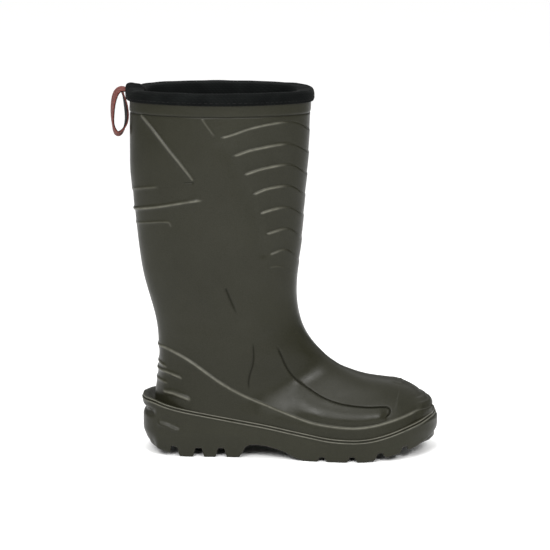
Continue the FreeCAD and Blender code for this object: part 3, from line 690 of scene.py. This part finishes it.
def make_sole(material):
    outline, outside = sole_outline()
    x = outline[:, 0]
    top = natural_spline(SOLE_TOP[:, 0], SOLE_TOP[:, 1], x)
    top -= INNER_HEEL_DROP * smoothstep(outline[:, 1] / 25.0) * smoothstep((-50.0 - x) / 12.0)
    bottom = sole_bottom(x, outline[:, 1], np.ones_like(x))

    rows = []

    def add_row(push, height):
        spot = outline + outside * push[:, None]
        rows.append(np.column_stack([spot, height]))

    spine = np.column_stack([np.clip(x, -32.0, 196.0), np.interp(x, (-32, 60, 140, 196), (0, 0, -1, 5))])
    shares = np.linspace(0, 1, BOTTOM_RINGS + 1)[1:-1] ** 0.8
    tread_edge = outline + outside * (-1.8 + wall_offset(x, bottom))[:, None]
    for share in shares:
        spot = spine + (tread_edge - spine) * share
        height = sole_bottom(spot[:, 0], spot[:, 1], np.full(len(x), share))
        rows.append(np.column_stack([spot, height]))
    add_row(-1.8 + wall_offset(x, bottom), bottom)
    add_row(-0.6 + wall_offset(x, bottom + 0.5), bottom + 0.5)
    for step in range(WALL_ROWS + 1):
        height = bottom + 1.7 + (top - 2.8 - bottom - 1.7) * step / WALL_ROWS
        add_row(wall_offset(x, height) + heel_bumper(x, height), height)
    ledge = wall_offset(x, top)
    profile = (
        (0.1, -2.4), (0.45, -1.9), (0.7, -1.3), (0.75, -0.7), (0.45, -0.2), (-0.1, 0.0), (-0.9, -0.1),
        (-1.5, 0.2),
        (-1.6, 0.8), (-1.2, 1.2), (-0.6, 1.5), (-0.35, 2.0), (-0.55, 2.6), (-1.2, 2.9), (-2.4, 2.9),
        (-4.6, 2.4),
        (-7.0, 1.0), (-11.0, -3.0),
    )
    for push, rise in profile:
        add_row(ledge + push, top + rise)
    rim = rows[-1]
    for step in range(1, SEAT_RINGS):
        share = 1 - step / SEAT_RINGS
        spot = spine + (rim[:, :2] - spine) * share
        rows.append(np.column_stack([spot, rim[:, 2] - 2.0 * (1 - share)]))
    points = np.vstack(rows)
    faces = grid_faces(len(rows), SOLE_COLUMNS)
    piece = make_object("sole_tread", points, faces)
    lip_start = len(rows) - SEAT_RINGS + 1 - len(profile)
    painted_light = piece.data.attributes.new(PAINTED_LIGHT_ATTRIBUTE, "FLOAT", "POINT")
    shares = np.zeros(len(points))
    # The pale lip rows are a painted highlight along the lip.
    for step in LIP_HIGHLIGHT_ROWS:
        row = lip_start + step
        shares[row * SOLE_COLUMNS : (row + 1) * SOLE_COLUMNS] = 1.0
    painted_light.data.foreach_set("value", shares)
    close_ends(piece)
    dress(piece, "boot", "olive_sole", material, "outsole")


def close_ends(piece):
    """Fills the open rings of a tube and makes its faces face outwards."""
    work = bmesh.new()
    work.from_mesh(piece.data)
    open_edges = [edge for edge in work.edges if edge.is_boundary]
    bmesh.ops.holes_fill(work, edges=open_edges)
    bmesh.ops.recalc_face_normals(work, faces=work.faces)
    work.to_mesh(piece.data)
    work.free()
    piece.data.polygons.foreach_set("use_smooth", [True] * len(piece.data.polygons))
    piece.data.update()


# ---------------------------------------------------------------- collar

COLLAR_COLUMNS = 420
# The collar's cross-section, from its outer foot over the top to its inner foot: distance out of the shell's
# face and height. The shell and its linings fill the gap between the two feet.
COLLAR_SECTION = (
    (0.3, 382.0), (0.6, 380.2), (1.5, 379.3), (2.6, 379.7), (3.2, 381.0), (3.5, 383.2), (3.5, 385.8),
    (3.1, 388.2),
    (2.0, 390.2), (0.2, 391.3), (-2.2, 391.7), (-5.0, 391.4), (-8.0, 390.9), (-11.0, 390.6), (-13.6, 389.6),
    (-15.2, 387.6), (-15.8, 384.8), (-15.8, 381.0), (-15.4, 377.0), (-14.2, 373.5), (-12.8, 372.6),
    (-12.6, 375.0),
)
BACK_PEAK = 5.6
# How far the strap's root pushes the collar out at the back.
BACK_BULGE = 2.2
FAR_LIFT = 2.3


def rim_outline(turns, push):
    """The rim's outline pushed out by push, at height 0."""
    ring = station_rings(-push)[0]
    return (ring_weights(turns, 8) @ ring)[:, :2]


def collar_lift(turns):
    """The collar is drawn up where the pull strap is sewn to its back."""
    from_back = np.minimum(turns, 1 - turns)
    peak = BACK_PEAK * bell(from_back, 0.034) - 0.8 * bell(from_back - 0.085, 0.03)
    return peak + FAR_LIFT * smoothstep(np.sin(2 * math.pi * turns) / 0.8)


def make_collar(material):
    turns = np.arange(COLLAR_COLUMNS) / COLLAR_COLUMNS
    lift = collar_lift(turns)
    rows = []
    section = rounded_line(COLLAR_SECTION, 2)
    for push, height in section:
        spot = rim_outline(turns, push)
        spot[:, 0] -= BACK_BULGE * bell(np.minimum(turns, 1 - turns), 0.03)
        share = smoothstep((height - 379.0) / 11.0)
        angle = turns * 2 * math.pi
        wave = 0.2 * np.sin(angle * 9 + 1.3) * np.sin(angle * 5) + 0.1 * np.sin(angle * 23 + height * 0.3)
        z = height + lift * share + wave * share
        rows.append(np.column_stack([spot, z]))
    points = np.vstack(rows)
    piece = make_object("collar_roll", points, grid_faces(len(rows), COLLAR_COLUMNS))
    outward(piece)
    dress(piece, "boot", "collar_knit", material, "collar_binding")


STITCHES = 132
# Share of the pitch that half a stitch takes up.
STITCH_SHARE = 0.36
STITCH_RINGS = 7
STITCH_SIDES = 6
STITCH_OUT = 3.35
STITCH_DIP = 0.55
STITCH_Z = 382.1
THREAD_RADIUS = 0.32


def make_stitches(material):
    """Lock stitches round the foot of the collar: short lengths of thread, each dipping in at its ends."""
    points = []
    faces = []
    for number in range(STITCHES):
        middle = number / STITCHES
        half = STITCH_SHARE / STITCHES
        for step in range(STITCH_RINGS):
            share = step / (STITCH_RINGS - 1)
            turn = np.array([middle + half * (2 * share - 1)])
            dip = STITCH_DIP * (2 * share - 1) ** 4
            centre = np.append(rim_outline(turn, STITCH_OUT - dip)[0], STITCH_Z)
            here = rim_outline(turn, 3.0)[0]
            radial = here - np.array([RIM_CENTRE_X, 0])
            radial /= np.linalg.norm(radial)
            for side in range(STITCH_SIDES):
                angle = 2 * math.pi * side / STITCH_SIDES
                offset = np.array([radial[0] * math.cos(angle), radial[1] * math.cos(angle), math.sin(angle)])
                points.append(centre + offset * THREAD_RADIUS)
        base = number * STITCH_RINGS * STITCH_SIDES
        end = base + STITCH_RINGS * STITCH_SIDES
        faces += grid_faces(STITCH_RINGS, STITCH_SIDES, offset=base)
        faces.append(tuple(range(base, base + STITCH_SIDES)))
        faces.append(tuple(range(end - STITCH_SIDES, end)))
    piece = make_object("collar_stitches", points, faces)
    outward(piece)
    dress(piece, "boot", "black_thread", material, "collar_thread")


# ---------------------------------------------------------------- lining and footbed

LINING_COLUMNS = 150
LINING_ROWS = 170
LINING_BACK_ROWS = 24
# How far the lining's face and back lie inside the form.
LINING_FACE = 12.0
LINING_BACK = 10.6


def make_lining(material):
    """The pile lining: a closed bag with a soft, uneven face, open at the rim."""
    turns = np.arange(LINING_COLUMNS) / LINING_COLUMNS
    rows = []
    for place in np.linspace(0, 1, LINING_ROWS):
        where = np.full(LINING_COLUMNS, place)
        points = form_points(turns, where, LINING_FACE)
        normals = form_normals(turns, where, LINING_FACE)
        tuft = np.array([
            0.5 * noise.noise(Vector(p) / 5.0) + 0.35 * noise.noise(Vector(p) / 1.9) for p in points
        ])
        rows.append(points + normals * tuft[:, None])
    for place in np.linspace(0, 1, LINING_BACK_ROWS)[::-1]:
        rows.append(form_points(turns, np.full(LINING_COLUMNS, place), LINING_BACK))
    points = np.vstack(rows)
    faces = grid_faces(len(rows), LINING_COLUMNS)
    top_outer = (len(rows) - 1) * LINING_COLUMNS
    for i in range(LINING_COLUMNS):
        j = (i + 1) % LINING_COLUMNS
        faces.append((i, top_outer + i, top_outer + j, j))
    piece = make_object("pile_lining", points, faces)
    outward(piece)
    dress(piece, "boot", "pile", material, "fleece_lining")


BED_LINE = np.array((
    (-70, 44.5), (-40, 43.5), (-10, 43.4), (8, 43.6), (35, 42.4), (65, 39.6), (84, 36.3), (110, 31.5),
    (135, 29.6), (155, 30.2), (182, 33.0), (197, 36.0),
), float)
BED_INSET = 13.2
BED_ROWS = 90
BED_COLUMNS = 36
COVER_GAUGE = 1.0


def bed_edges():
    """The footbed's outline from above: x of each row and the y of its two edges."""
    turns, places = np.meshgrid(np.linspace(0, 1, 400, endpoint=False), np.linspace(0.45, 1, 500))
    skin = form_points(turns.ravel(), places.ravel(), BED_INSET)
    near = np.abs(skin[:, 2] - np.interp(skin[:, 0], BED_LINE[:, 0], BED_LINE[:, 1])) < 1.0
    ring = skin[near]
    low, high = ring[:, 0].min() + 0.5, BED_LINE[-1, 0] - 0.5
    middle, half = (low + high) / 2, (high - low) / 2
    rows = middle - half * np.cos(np.linspace(0, math.pi, BED_ROWS))
    inner = ring[ring[:, 1] > 0]
    outer = ring[ring[:, 1] <= 0]
    edges = []
    for side in (outer, inner):
        order = np.argsort(side[:, 0])
        edges.append(np.interp(rows, side[order, 0], side[order, 1]))
    return rows, edges


def make_footbed(material):
    """The footbed's pile cover: a thin closed sheet with a soft face and a rounded edge."""
    rows, (outer, inner) = bed_edges()
    across = np.linspace(0, 1, BED_COLUMNS)
    faces_of_cloth = []
    for depth in (0.0, COVER_GAUGE):
        for x, low, high in zip(rows, outer, inner):
            level = np.interp(x, BED_LINE[:, 0], BED_LINE[:, 1]) - depth
            for share in across:
                y = low + (high - low) * share
                tuft = 0.35 * noise.noise(Vector((x, y, 0)) / 4.0) if depth == 0 else 0.0
                faces_of_cloth.append((x, y, level + tuft))
    points = np.array(faces_of_cloth)
    size = BED_ROWS * BED_COLUMNS
    top = grid_faces(BED_ROWS, BED_COLUMNS, closed=False)
    faces = top + [tuple(index + size for index in face[::-1]) for face in top]
    rim = [row * BED_COLUMNS for row in range(BED_ROWS)]
    rim += [(BED_ROWS - 1) * BED_COLUMNS + column for column in range(1, BED_COLUMNS)]
    rim += [row * BED_COLUMNS + BED_COLUMNS - 1 for row in range(BED_ROWS - 2, -1, -1)]
    rim += [column for column in range(BED_COLUMNS - 2, 0, -1)]
    for a, b in zip(rim, rim[1:] + rim[:1]):
        faces.append((a, b, b + size, a + size))
    piece = make_object("footbed_pile", points, faces)
    outward(piece)
    dress(piece, "footbed", "pile", material, "footbed_cover")


# ---------------------------------------------------------------- pull strap

STRAP_PATH = (
    (-91.0, 389.6), (-96.5, 390.4), (-102.2, 385.4), (-105.4, 373.6), (-106.2, 361.0), (-105.2, 350.6),
    (-101.0, 342.6),
    (-94.4, 347.4), (-90.7, 357.0), (-90.5, 367.0), (-92.0, 377.5), (-94.6, 387.4),
)
# Turn of the strap about its own line at each point of the path, in degrees: it hangs with a slight twist.
STRAP_TWIST = (6, 16, 24, 20, 14, 12, 24, 2, -14, -18, -14, -4)
STRAP_HALF_WIDTH = 7.0
WEBBING_HALF = 0.65
TAPE_HALF_WIDTH = 6.7
TAPE_HALF = 0.35
RIBBON_ROWS = 260
RIBBON_ACROSS = 22


def strap_frames(count):
    """Places along the strap's path with its outward and sideways directions."""
    knots = np.arange(len(STRAP_PATH), dtype=float)
    where = np.linspace(0, len(STRAP_PATH) - 1, count)
    path = natural_spline(knots, np.array(STRAP_PATH, float), where)
    twist = np.radians(natural_spline(knots, np.array(STRAP_TWIST, float), where))
    along = np.gradient(path, axis=0)
    along /= np.linalg.norm(along, axis=1, keepdims=True)
    centre = path.mean(0)
    out = np.column_stack([-along[:, 1], along[:, 0]])
    if ((path - centre) * out).sum() < 0:
        out *= -1
    places = np.column_stack([path[:, 0], np.zeros(count), path[:, 1]])
    normal = np.column_stack([out[:, 0] * np.cos(twist), -np.sin(twist), out[:, 1] * np.cos(twist)])
    sideways = np.column_stack([out[:, 0] * np.sin(twist), np.cos(twist), out[:, 1] * np.sin(twist)])
    return places, normal, sideways


def ribbon(name, depth, half, half_width):
    """A flat woven band along the strap's path, depth inside the path, with rounded selvedges."""
    places, normal, sideways = strap_frames(RIBBON_ROWS)
    ring = []
    for i in range(RIBBON_ACROSS):
        share = -1 + 2 * i / (RIBBON_ACROSS - 1)
        edge = (1 - abs(share) ** 8) ** 0.5
        cord = 0.10 if abs(abs(share) - 0.86) < 0.08 else 0.0
        ring.append((share, half * (0.35 + 0.65 * edge) + cord))
    ring += [(share, -size) for share, size in reversed(ring)]
    points = []
    for i in range(RIBBON_ROWS):
        weft = 0.06 * math.sin(i * math.pi * 0.9)
        for share, size in ring:
            thickness = size + math.copysign(weft, size)
            spot = places[i] + normal[i] * (thickness - depth) + sideways[i] * share * half_width
            points.append(spot)
    faces = grid_faces(RIBBON_ROWS, len(ring))
    faces.append(tuple(range(len(ring))))
    faces.append(tuple(range((RIBBON_ROWS - 1) * len(ring), RIBBON_ROWS * len(ring))))
    piece = make_object(name, points, faces)
    outward(piece)
    return piece


def make_strap(webbing_material, tape_material):
    webbing = ribbon("strap_webbing", 0.0, WEBBING_HALF, STRAP_HALF_WIDTH)
    dress(webbing, "pull_strap", "red_webbing", webbing_material, "pull_strap_webbing")
    tape = ribbon("strap_tape", WEBBING_HALF + TAPE_HALF + 0.1, TAPE_HALF, TAPE_HALF_WIDTH)
    dress(tape, "pull_strap", "black_tape", tape_material, "pull_strap_tape")


# ---------------------------------------------------------------- materials

class Shader:
    """A Principled material with small helpers for its node tree."""

    def __init__(self, name, colour, roughness, shine=0.12, **sockets):
        self.material = bpy.data.materials.new(name)
        self.material.use_nodes = True
        self.tree = self.material.node_tree
        self.surface = self.tree.nodes["Principled BSDF"]
        self.surface.inputs["Base Color"].default_value = (*colour, 1)
        self.surface.inputs["Roughness"].default_value = roughness
        self.surface.inputs["Specular IOR Level"].default_value = shine
        for socket, value in sockets.items():
            self.surface.inputs[socket.replace("_", " ")].default_value = value
        self.coordinates = self.node("ShaderNodeTexCoord").outputs["Object"]

    def node(self, kind, **settings):
        made = self.tree.nodes.new(kind)
        for key, value in settings.items():
            setattr(made, key, value)
        return made

    def link(self, source, target):
        self.tree.links.new(source, target)

    def noise(self, scale, detail=4.0, roughness=0.5):
        """Noise with scale in cells per metre."""
        made = self.node("ShaderNodeTexNoise")
        made.inputs["Scale"].default_value = scale
        made.inputs["Detail"].default_value = detail
        made.inputs["Roughness"].default_value = roughness
        self.link(self.coordinates, made.inputs["Vector"])
        return made.outputs["Fac"]

    def wave(self, direction, pitch, distortion=0.0):
        """Regular bands: pitch, in metres, sets how close they stand."""
        settings = {"wave_type": "BANDS", "bands_direction": direction, "wave_profile": "SIN"}
        made = self.node("ShaderNodeTexWave", **settings)
        made.inputs["Scale"].default_value = 1.0 / pitch / 6.28
        made.inputs["Distortion"].default_value = distortion
        self.link(self.coordinates, made.inputs["Vector"])
        return made

    def ramp(self, source, stops):
        made = self.node("ShaderNodeValToRGB")
        elements = made.color_ramp.elements
        while len(elements) < len(stops):
            elements.new(0.5)
        for element, (place, colour) in zip(elements, stops):
            element.position = place
            element.color = (*colour, 1)
        self.link(source, made.inputs["Fac"])
        return made.outputs["Color"]

    def spread(self, source, low, high, out_low, out_high):
        made = self.node("ShaderNodeMapRange")
        made.inputs["From Min"].default_value = low
        made.inputs["From Max"].default_value = high
        made.inputs["To Min"].default_value = out_low
        made.inputs["To Max"].default_value = out_high
        self.link(source, made.inputs["Value"])
        return made.outputs["Result"]

    def mix(self, factor, first, second):
        made = self.node("ShaderNodeMix", data_type="RGBA", blend_type="MIX")
        for value, socket in ((factor, made.inputs[0]), (first, made.inputs[6]), (second, made.inputs[7])):
            if isinstance(value, (int, float)):
                socket.default_value = value
            elif isinstance(value, tuple):
                socket.default_value = (*value, 1)
            else:
                self.link(value, socket)
        return made.outputs[2]

    def maths(self, operation, first, second):
        made = self.node("ShaderNodeMath", operation=operation)
        for value, socket in zip((first, second), made.inputs):
            if isinstance(value, (int, float)):
                socket.default_value = value
            else:
                self.link(value, socket)
        return made.outputs[0]

    def bump(self, height, distance, strength=1.0, normal=None):
        made = self.node("ShaderNodeBump")
        made.inputs["Distance"].default_value = distance
        made.inputs["Strength"].default_value = strength
        self.link(height, made.inputs["Height"])
        if normal is not None:
            self.link(normal, made.inputs["Normal"])
        return made.outputs["Normal"]

    def colour_from(self, source):
        self.link(source, self.surface.inputs["Base Color"])

    def roughness_from(self, source):
        self.link(source, self.surface.inputs["Roughness"])

    def normal_from(self, source):
        self.link(source, self.surface.inputs["Normal"])


SHELL_SHINE = 0.17
# Pale colour for the grain's fine flecks and for the painted highlight on crests.
PALE_FLECK_AND_HIGHLIGHT = (0.092, 0.090, 0.071)
# Near-black painted shade for creases and grooves.
CREASE_SHADE_PAINT = (0.003, 0.003, 0.002)


def moulded_material(name, dark, light, roughness):
    """Foamed polyurethane: an olive matt skin, faintly mottled, with a painted highlight on its crests and
    painted shade in its creases.
    """
    shader = Shader(name, dark, roughness, shine=SHELL_SHINE)
    clouds = shader.noise(14.0, 3.0)
    speckle = shader.noise(900.0, 2.0)
    body = shader.ramp(clouds, ((0.30, dark), (0.70, light)))
    grain = shader.mix(shader.spread(speckle, 0.35, 0.65, 0.0, 0.04), body, PALE_FLECK_AND_HIGHLIGHT)
    # Painted highlight: where the crest attribute is positive the colour goes pale, patchy along the crests.
    crest = shader.node("ShaderNodeAttribute", attribute_name=PAINTED_LIGHT_ATTRIBUTE).outputs["Fac"]
    patchy = shader.spread(shader.noise(120.0, 4.0), 0.3, 0.7, 0.55, 1.0)
    crest_highlight = shader.maths("MULTIPLY", shader.maths("MAXIMUM", crest, 0.0), patchy)
    painted_light = shader.mix(crest_highlight, grain, PALE_FLECK_AND_HIGHLIGHT)
    # Painted shade: where the crest attribute is negative the colour goes nearly black.
    crease = shader.spread(crest, 0.0, -1.0, 0.0, 0.9)
    shader.colour_from(shader.mix(crease, painted_light, CREASE_SHADE_PAINT))
    shine = shader.spread(crest, 0.0, -1.0, SHELL_SHINE, 0.02)
    shader.link(shine, shader.surface.inputs["Specular IOR Level"])
    scuffs = shader.noise(60.0, 6.0, 0.65)
    shader.roughness_from(shader.spread(scuffs, 0.3, 0.7, roughness - 0.07, roughness + 0.09))
    coarse = shader.bump(shader.noise(260.0, 3.0), 0.00025, 0.35)
    fine = shader.bump(shader.noise(1500.0, 2.0), 0.00008, 0.5, coarse)
    shader.normal_from(fine)
    return shader.material


def knit_material(name, dark, light, pitch, sheen=0.3):
    """Fine knitted cloth: columns of small loops, with painted shade in the gaps between them."""
    shader = Shader(name, dark, 0.85, shine=0.04, Sheen_Weight=sheen, Sheen_Roughness=0.45)
    wale = shader.wave("DIAGONAL", pitch, 1.2)
    wale.inputs["Detail"].default_value = 2.0
    wale.inputs["Detail Scale"].default_value = 3.0
    course = shader.wave("Z", pitch, 0.6)
    loops = shader.maths("MULTIPLY", wale.outputs["Fac"], course.outputs["Fac"])
    fuzz = shader.noise(1800.0, 3.0)
    height = shader.maths("ADD", loops, shader.spread(fuzz, 0.2, 0.8, 0.0, 0.5))
    shade = shader.spread(shader.noise(45.0, 3.0), 0.3, 0.7, 0.0, 1.0)
    cloth = shader.mix(shade, dark, light)
    # Painted shade: the gaps between the loops are darkened towards black.
    shader.colour_from(shader.mix(shader.spread(loops, 0.0, 0.6, 0.25, 0.0), cloth, (0.0, 0.0, 0.0)))
    shader.normal_from(shader.bump(height, 0.0004, 0.6))
    return shader.material


def pile_material(name, dark, light):
    """Short pile: clumped fibres with a soft sheen."""
    shader = Shader(name, dark, 0.95, shine=0.03, Sheen_Weight=0.02, Sheen_Roughness=0.6)
    clumps = shader.noise(220.0, 5.0, 0.6)
    fibres = shader.noise(1600.0, 4.0, 0.7)
    shader.colour_from(shader.ramp(clumps, ((0.3, dark), (0.75, light))))
    height = shader.maths("ADD", clumps, shader.spread(fibres, 0.2, 0.8, 0.0, 0.6))
    shader.normal_from(shader.bump(height, 0.0012, 0.9))
    return shader.material


def webbing_material(name, dark, light, pitch=0.0011, sheen=0.25):
    """Woven tape: ribs across its width with yarn flecks and painted shade between the yarns."""
    shader = Shader(name, light, 0.8, Sheen_Weight=sheen, Sheen_Roughness=0.4)
    weft = shader.wave("Z", pitch, 0.4)
    warp = shader.wave("Y", pitch)
    yarn = shader.maths("MULTIPLY", weft.outputs["Fac"], warp.outputs["Fac"])
    flecks = shader.noise(700.0, 3.0)
    tint = shader.mix(shader.spread(flecks, 0.35, 0.65, 0.0, 1.0), dark, light)
    # Painted shade: the gaps between the yarns are darkened towards the dark yarn colour.
    shader.colour_from(shader.mix(shader.spread(yarn, 0.0, 0.5, 0.35, 0.0), tint, dark))
    shader.normal_from(shader.bump(yarn, 0.0003, 0.8))
    return shader.material


def foam_material(name, dark, light, cells):
    shader = Shader(name, light, 0.9)
    holes = shader.node("ShaderNodeTexVoronoi")
    holes.inputs["Scale"].default_value = cells
    shader.link(shader.coordinates, holes.inputs["Vector"])
    shader.colour_from(shader.ramp(holes.outputs["Distance"], ((0.1, dark), (0.6, light))))
    shader.normal_from(shader.bump(holes.outputs["Distance"], 0.0004, 0.7))
    return shader.material


def steel_material():
    shader = Shader("rolled_steel", (0.5, 0.5, 0.5), 0.35, shine=0.5, Metallic=1.0)
    streaks = shader.noise(400.0, 4.0)
    shader.roughness_from(shader.spread(streaks, 0.3, 0.7, 0.25, 0.45))
    shader.colour_from(shader.ramp(streaks, ((0.3, (0.42, 0.42, 0.43)), (0.7, (0.60, 0.60, 0.61)))))
    return shader.material


# ---------------------------------------------------------------- stage

CAMERA_DISTANCE = 2.2
CAMERA_TARGET = Vector((0.066, 0.0, 0.1915))
CAMERA_ELEVATION = math.radians(11.0)
CAMERA_AZIMUTH = math.radians(2.0)
CAMERA_LENS = 134.6
DOME_LOW = 0.12
DOME_HIGH = 1.32
FLOOR_HALF = 9000
BOOT_MIDDLE = (0.06, 0.0, 0.2)
# Lamps: name, place, what it is aimed at, size and power.
LAMPS = (
    ("key", (-0.45, -1.75, 1.35), BOOT_MIDDLE, 0.9, 34),
    ("top", (0.0, -0.6, 2.1), BOOT_MIDDLE, 0.8, 12),
    ("toe", (0.85, -1.75, 1.35), (0.17, 0.0, 0.05), 0.5, 26),
)


def make_camera():
    data = bpy.data.cameras.new("camera")
    data.lens = CAMERA_LENS
    data.sensor_width = 36.0
    camera = bpy.data.objects.new("camera", data)
    level = math.cos(CAMERA_ELEVATION)
    rise = math.sin(CAMERA_ELEVATION)
    back = Vector((math.sin(CAMERA_AZIMUTH) * level, -math.cos(CAMERA_AZIMUTH) * level, rise))
    camera.location = CAMERA_TARGET + back * CAMERA_DISTANCE
    camera.rotation_euler = back.to_track_quat("Z", "Y").to_euler()
    bpy.context.scene.collection.objects.link(camera)
    bpy.context.scene.camera = camera


def make_light(name, place, aim, size, power):
    data = bpy.data.lights.new(name, "AREA")
    data.shape = "DISK"
    data.size = size
    data.energy = power
    lamp = bpy.data.objects.new(name, data)
    lamp.location = place
    lamp.rotation_euler = (Vector(place) - Vector(aim)).to_track_quat("Z", "Y").to_euler()
    bpy.context.scene.collection.objects.link(lamp)


def make_dome():
    """A soft studio dome, bright overhead and dim towards the horizon."""
    world = bpy.data.worlds.new("studio")
    world.use_nodes = True
    tree = world.node_tree
    direction = tree.nodes.new("ShaderNodeTexCoord")
    parts = tree.nodes.new("ShaderNodeSeparateXYZ")
    fall = tree.nodes.new("ShaderNodeMapRange")
    fall.interpolation_type = "SMOOTHSTEP"
    fall.inputs["From Min"].default_value = 0.15
    fall.inputs["From Max"].default_value = 0.7
    fall.inputs["To Min"].default_value = DOME_LOW
    fall.inputs["To Max"].default_value = DOME_HIGH
    tree.links.new(direction.outputs["Generated"], parts.inputs[0])
    tree.links.new(parts.outputs["Z"], fall.inputs["Value"])
    tree.links.new(fall.outputs["Result"], tree.nodes["Background"].inputs["Strength"])
    tree.nodes["Background"].inputs["Color"].default_value = (1, 1, 1, 1)
    bpy.context.scene.world = world


def make_stage():
    corners = [(x * FLOOR_HALF, y * FLOOR_HALF, 0) for x, y in ((-1, -1), (1, -1), (1, 1), (-1, 1))]
    floor = make_object("floor", corners, [(0, 1, 2, 3)], smooth=False)
    paint = Shader("floor_paint", (0.93, 0.93, 0.925), 0.9)
    stops = ((0.0, (0.925, 0.925, 0.92)), (1.0, (0.935, 0.935, 0.93)))
    paint.colour_from(paint.ramp(paint.noise(3.0), stops))
    floor.data.materials.append(paint.material)
    make_dome()
    for lamp in LAMPS:
        make_light(*lamp)
    bpy.context.scene.view_settings.view_transform = "Standard"
    bpy.context.scene.view_settings.look = "None"


# ---------------------------------------------------------------- the boot

def paint_node(name, material):
    node = nodes[name]
    node.data.materials.clear()
    node.data.materials.append(material)


def main():
    make_camera()
    make_stage()
    shell_paint = moulded_material("olive_shell", (0.0088, 0.0087, 0.0042), (0.0118, 0.0117, 0.0064), 0.37)
    sole_paint = moulded_material("olive_sole", (0.0105, 0.0104, 0.0055), (0.0140, 0.0139, 0.0080), 0.42)
    collar_cloth = knit_material(
        "collar_knit", (0.0022, 0.0026, 0.0026), (0.0048, 0.0056, 0.0054), 0.0012, sheen=0.015,
    )
    thread = webbing_material(
        "black_thread", (0.003, 0.003, 0.003), (0.008, 0.008, 0.008), 0.0006, sheen=0.02,
    )
    red = webbing_material("red_webbing", (0.060, 0.016, 0.013), (0.165, 0.052, 0.042), sheen=0.05)
    black_tape = webbing_material("black_tape", (0.003, 0.003, 0.003), (0.009, 0.009, 0.009), sheen=0.03)
    pile = pile_material("pile", (0.0018, 0.002, 0.002), (0.006, 0.0064, 0.0064))
    bed_pile = pile_material("bed_pile", (0.012, 0.012, 0.012), (0.035, 0.035, 0.034))
    foam = foam_material("insulation_foam", (0.012, 0.012, 0.011), (0.035, 0.035, 0.033), 900.0)
    sock = knit_material("sock_knit", (0.24, 0.24, 0.22), (0.34, 0.34, 0.31), 0.0015)
    felt = pile_material("felt", (0.22, 0.23, 0.22), (0.36, 0.37, 0.36))
    board = foam_material("pressed_board", (0.34, 0.28, 0.20), (0.48, 0.42, 0.31), 500.0)

    make_upper(shell_paint)
    make_sole(sole_paint)
    make_collar(collar_cloth)
    make_stitches(thread)
    make_lining(pile)
    make_footbed(bed_pile)
    make_strap(red, black_tape)
    for name in ("insulation_layer", "collar_padding", "footbed_foam"):
        paint_node(name, foam)
    paint_node("lining_sock", sock)
    paint_node("insole_board", board)
    paint_node("shank", steel_material())
    paint_node("footbed_base", felt)
    paint_node("pull_strap_patch", collar_cloth)


main()
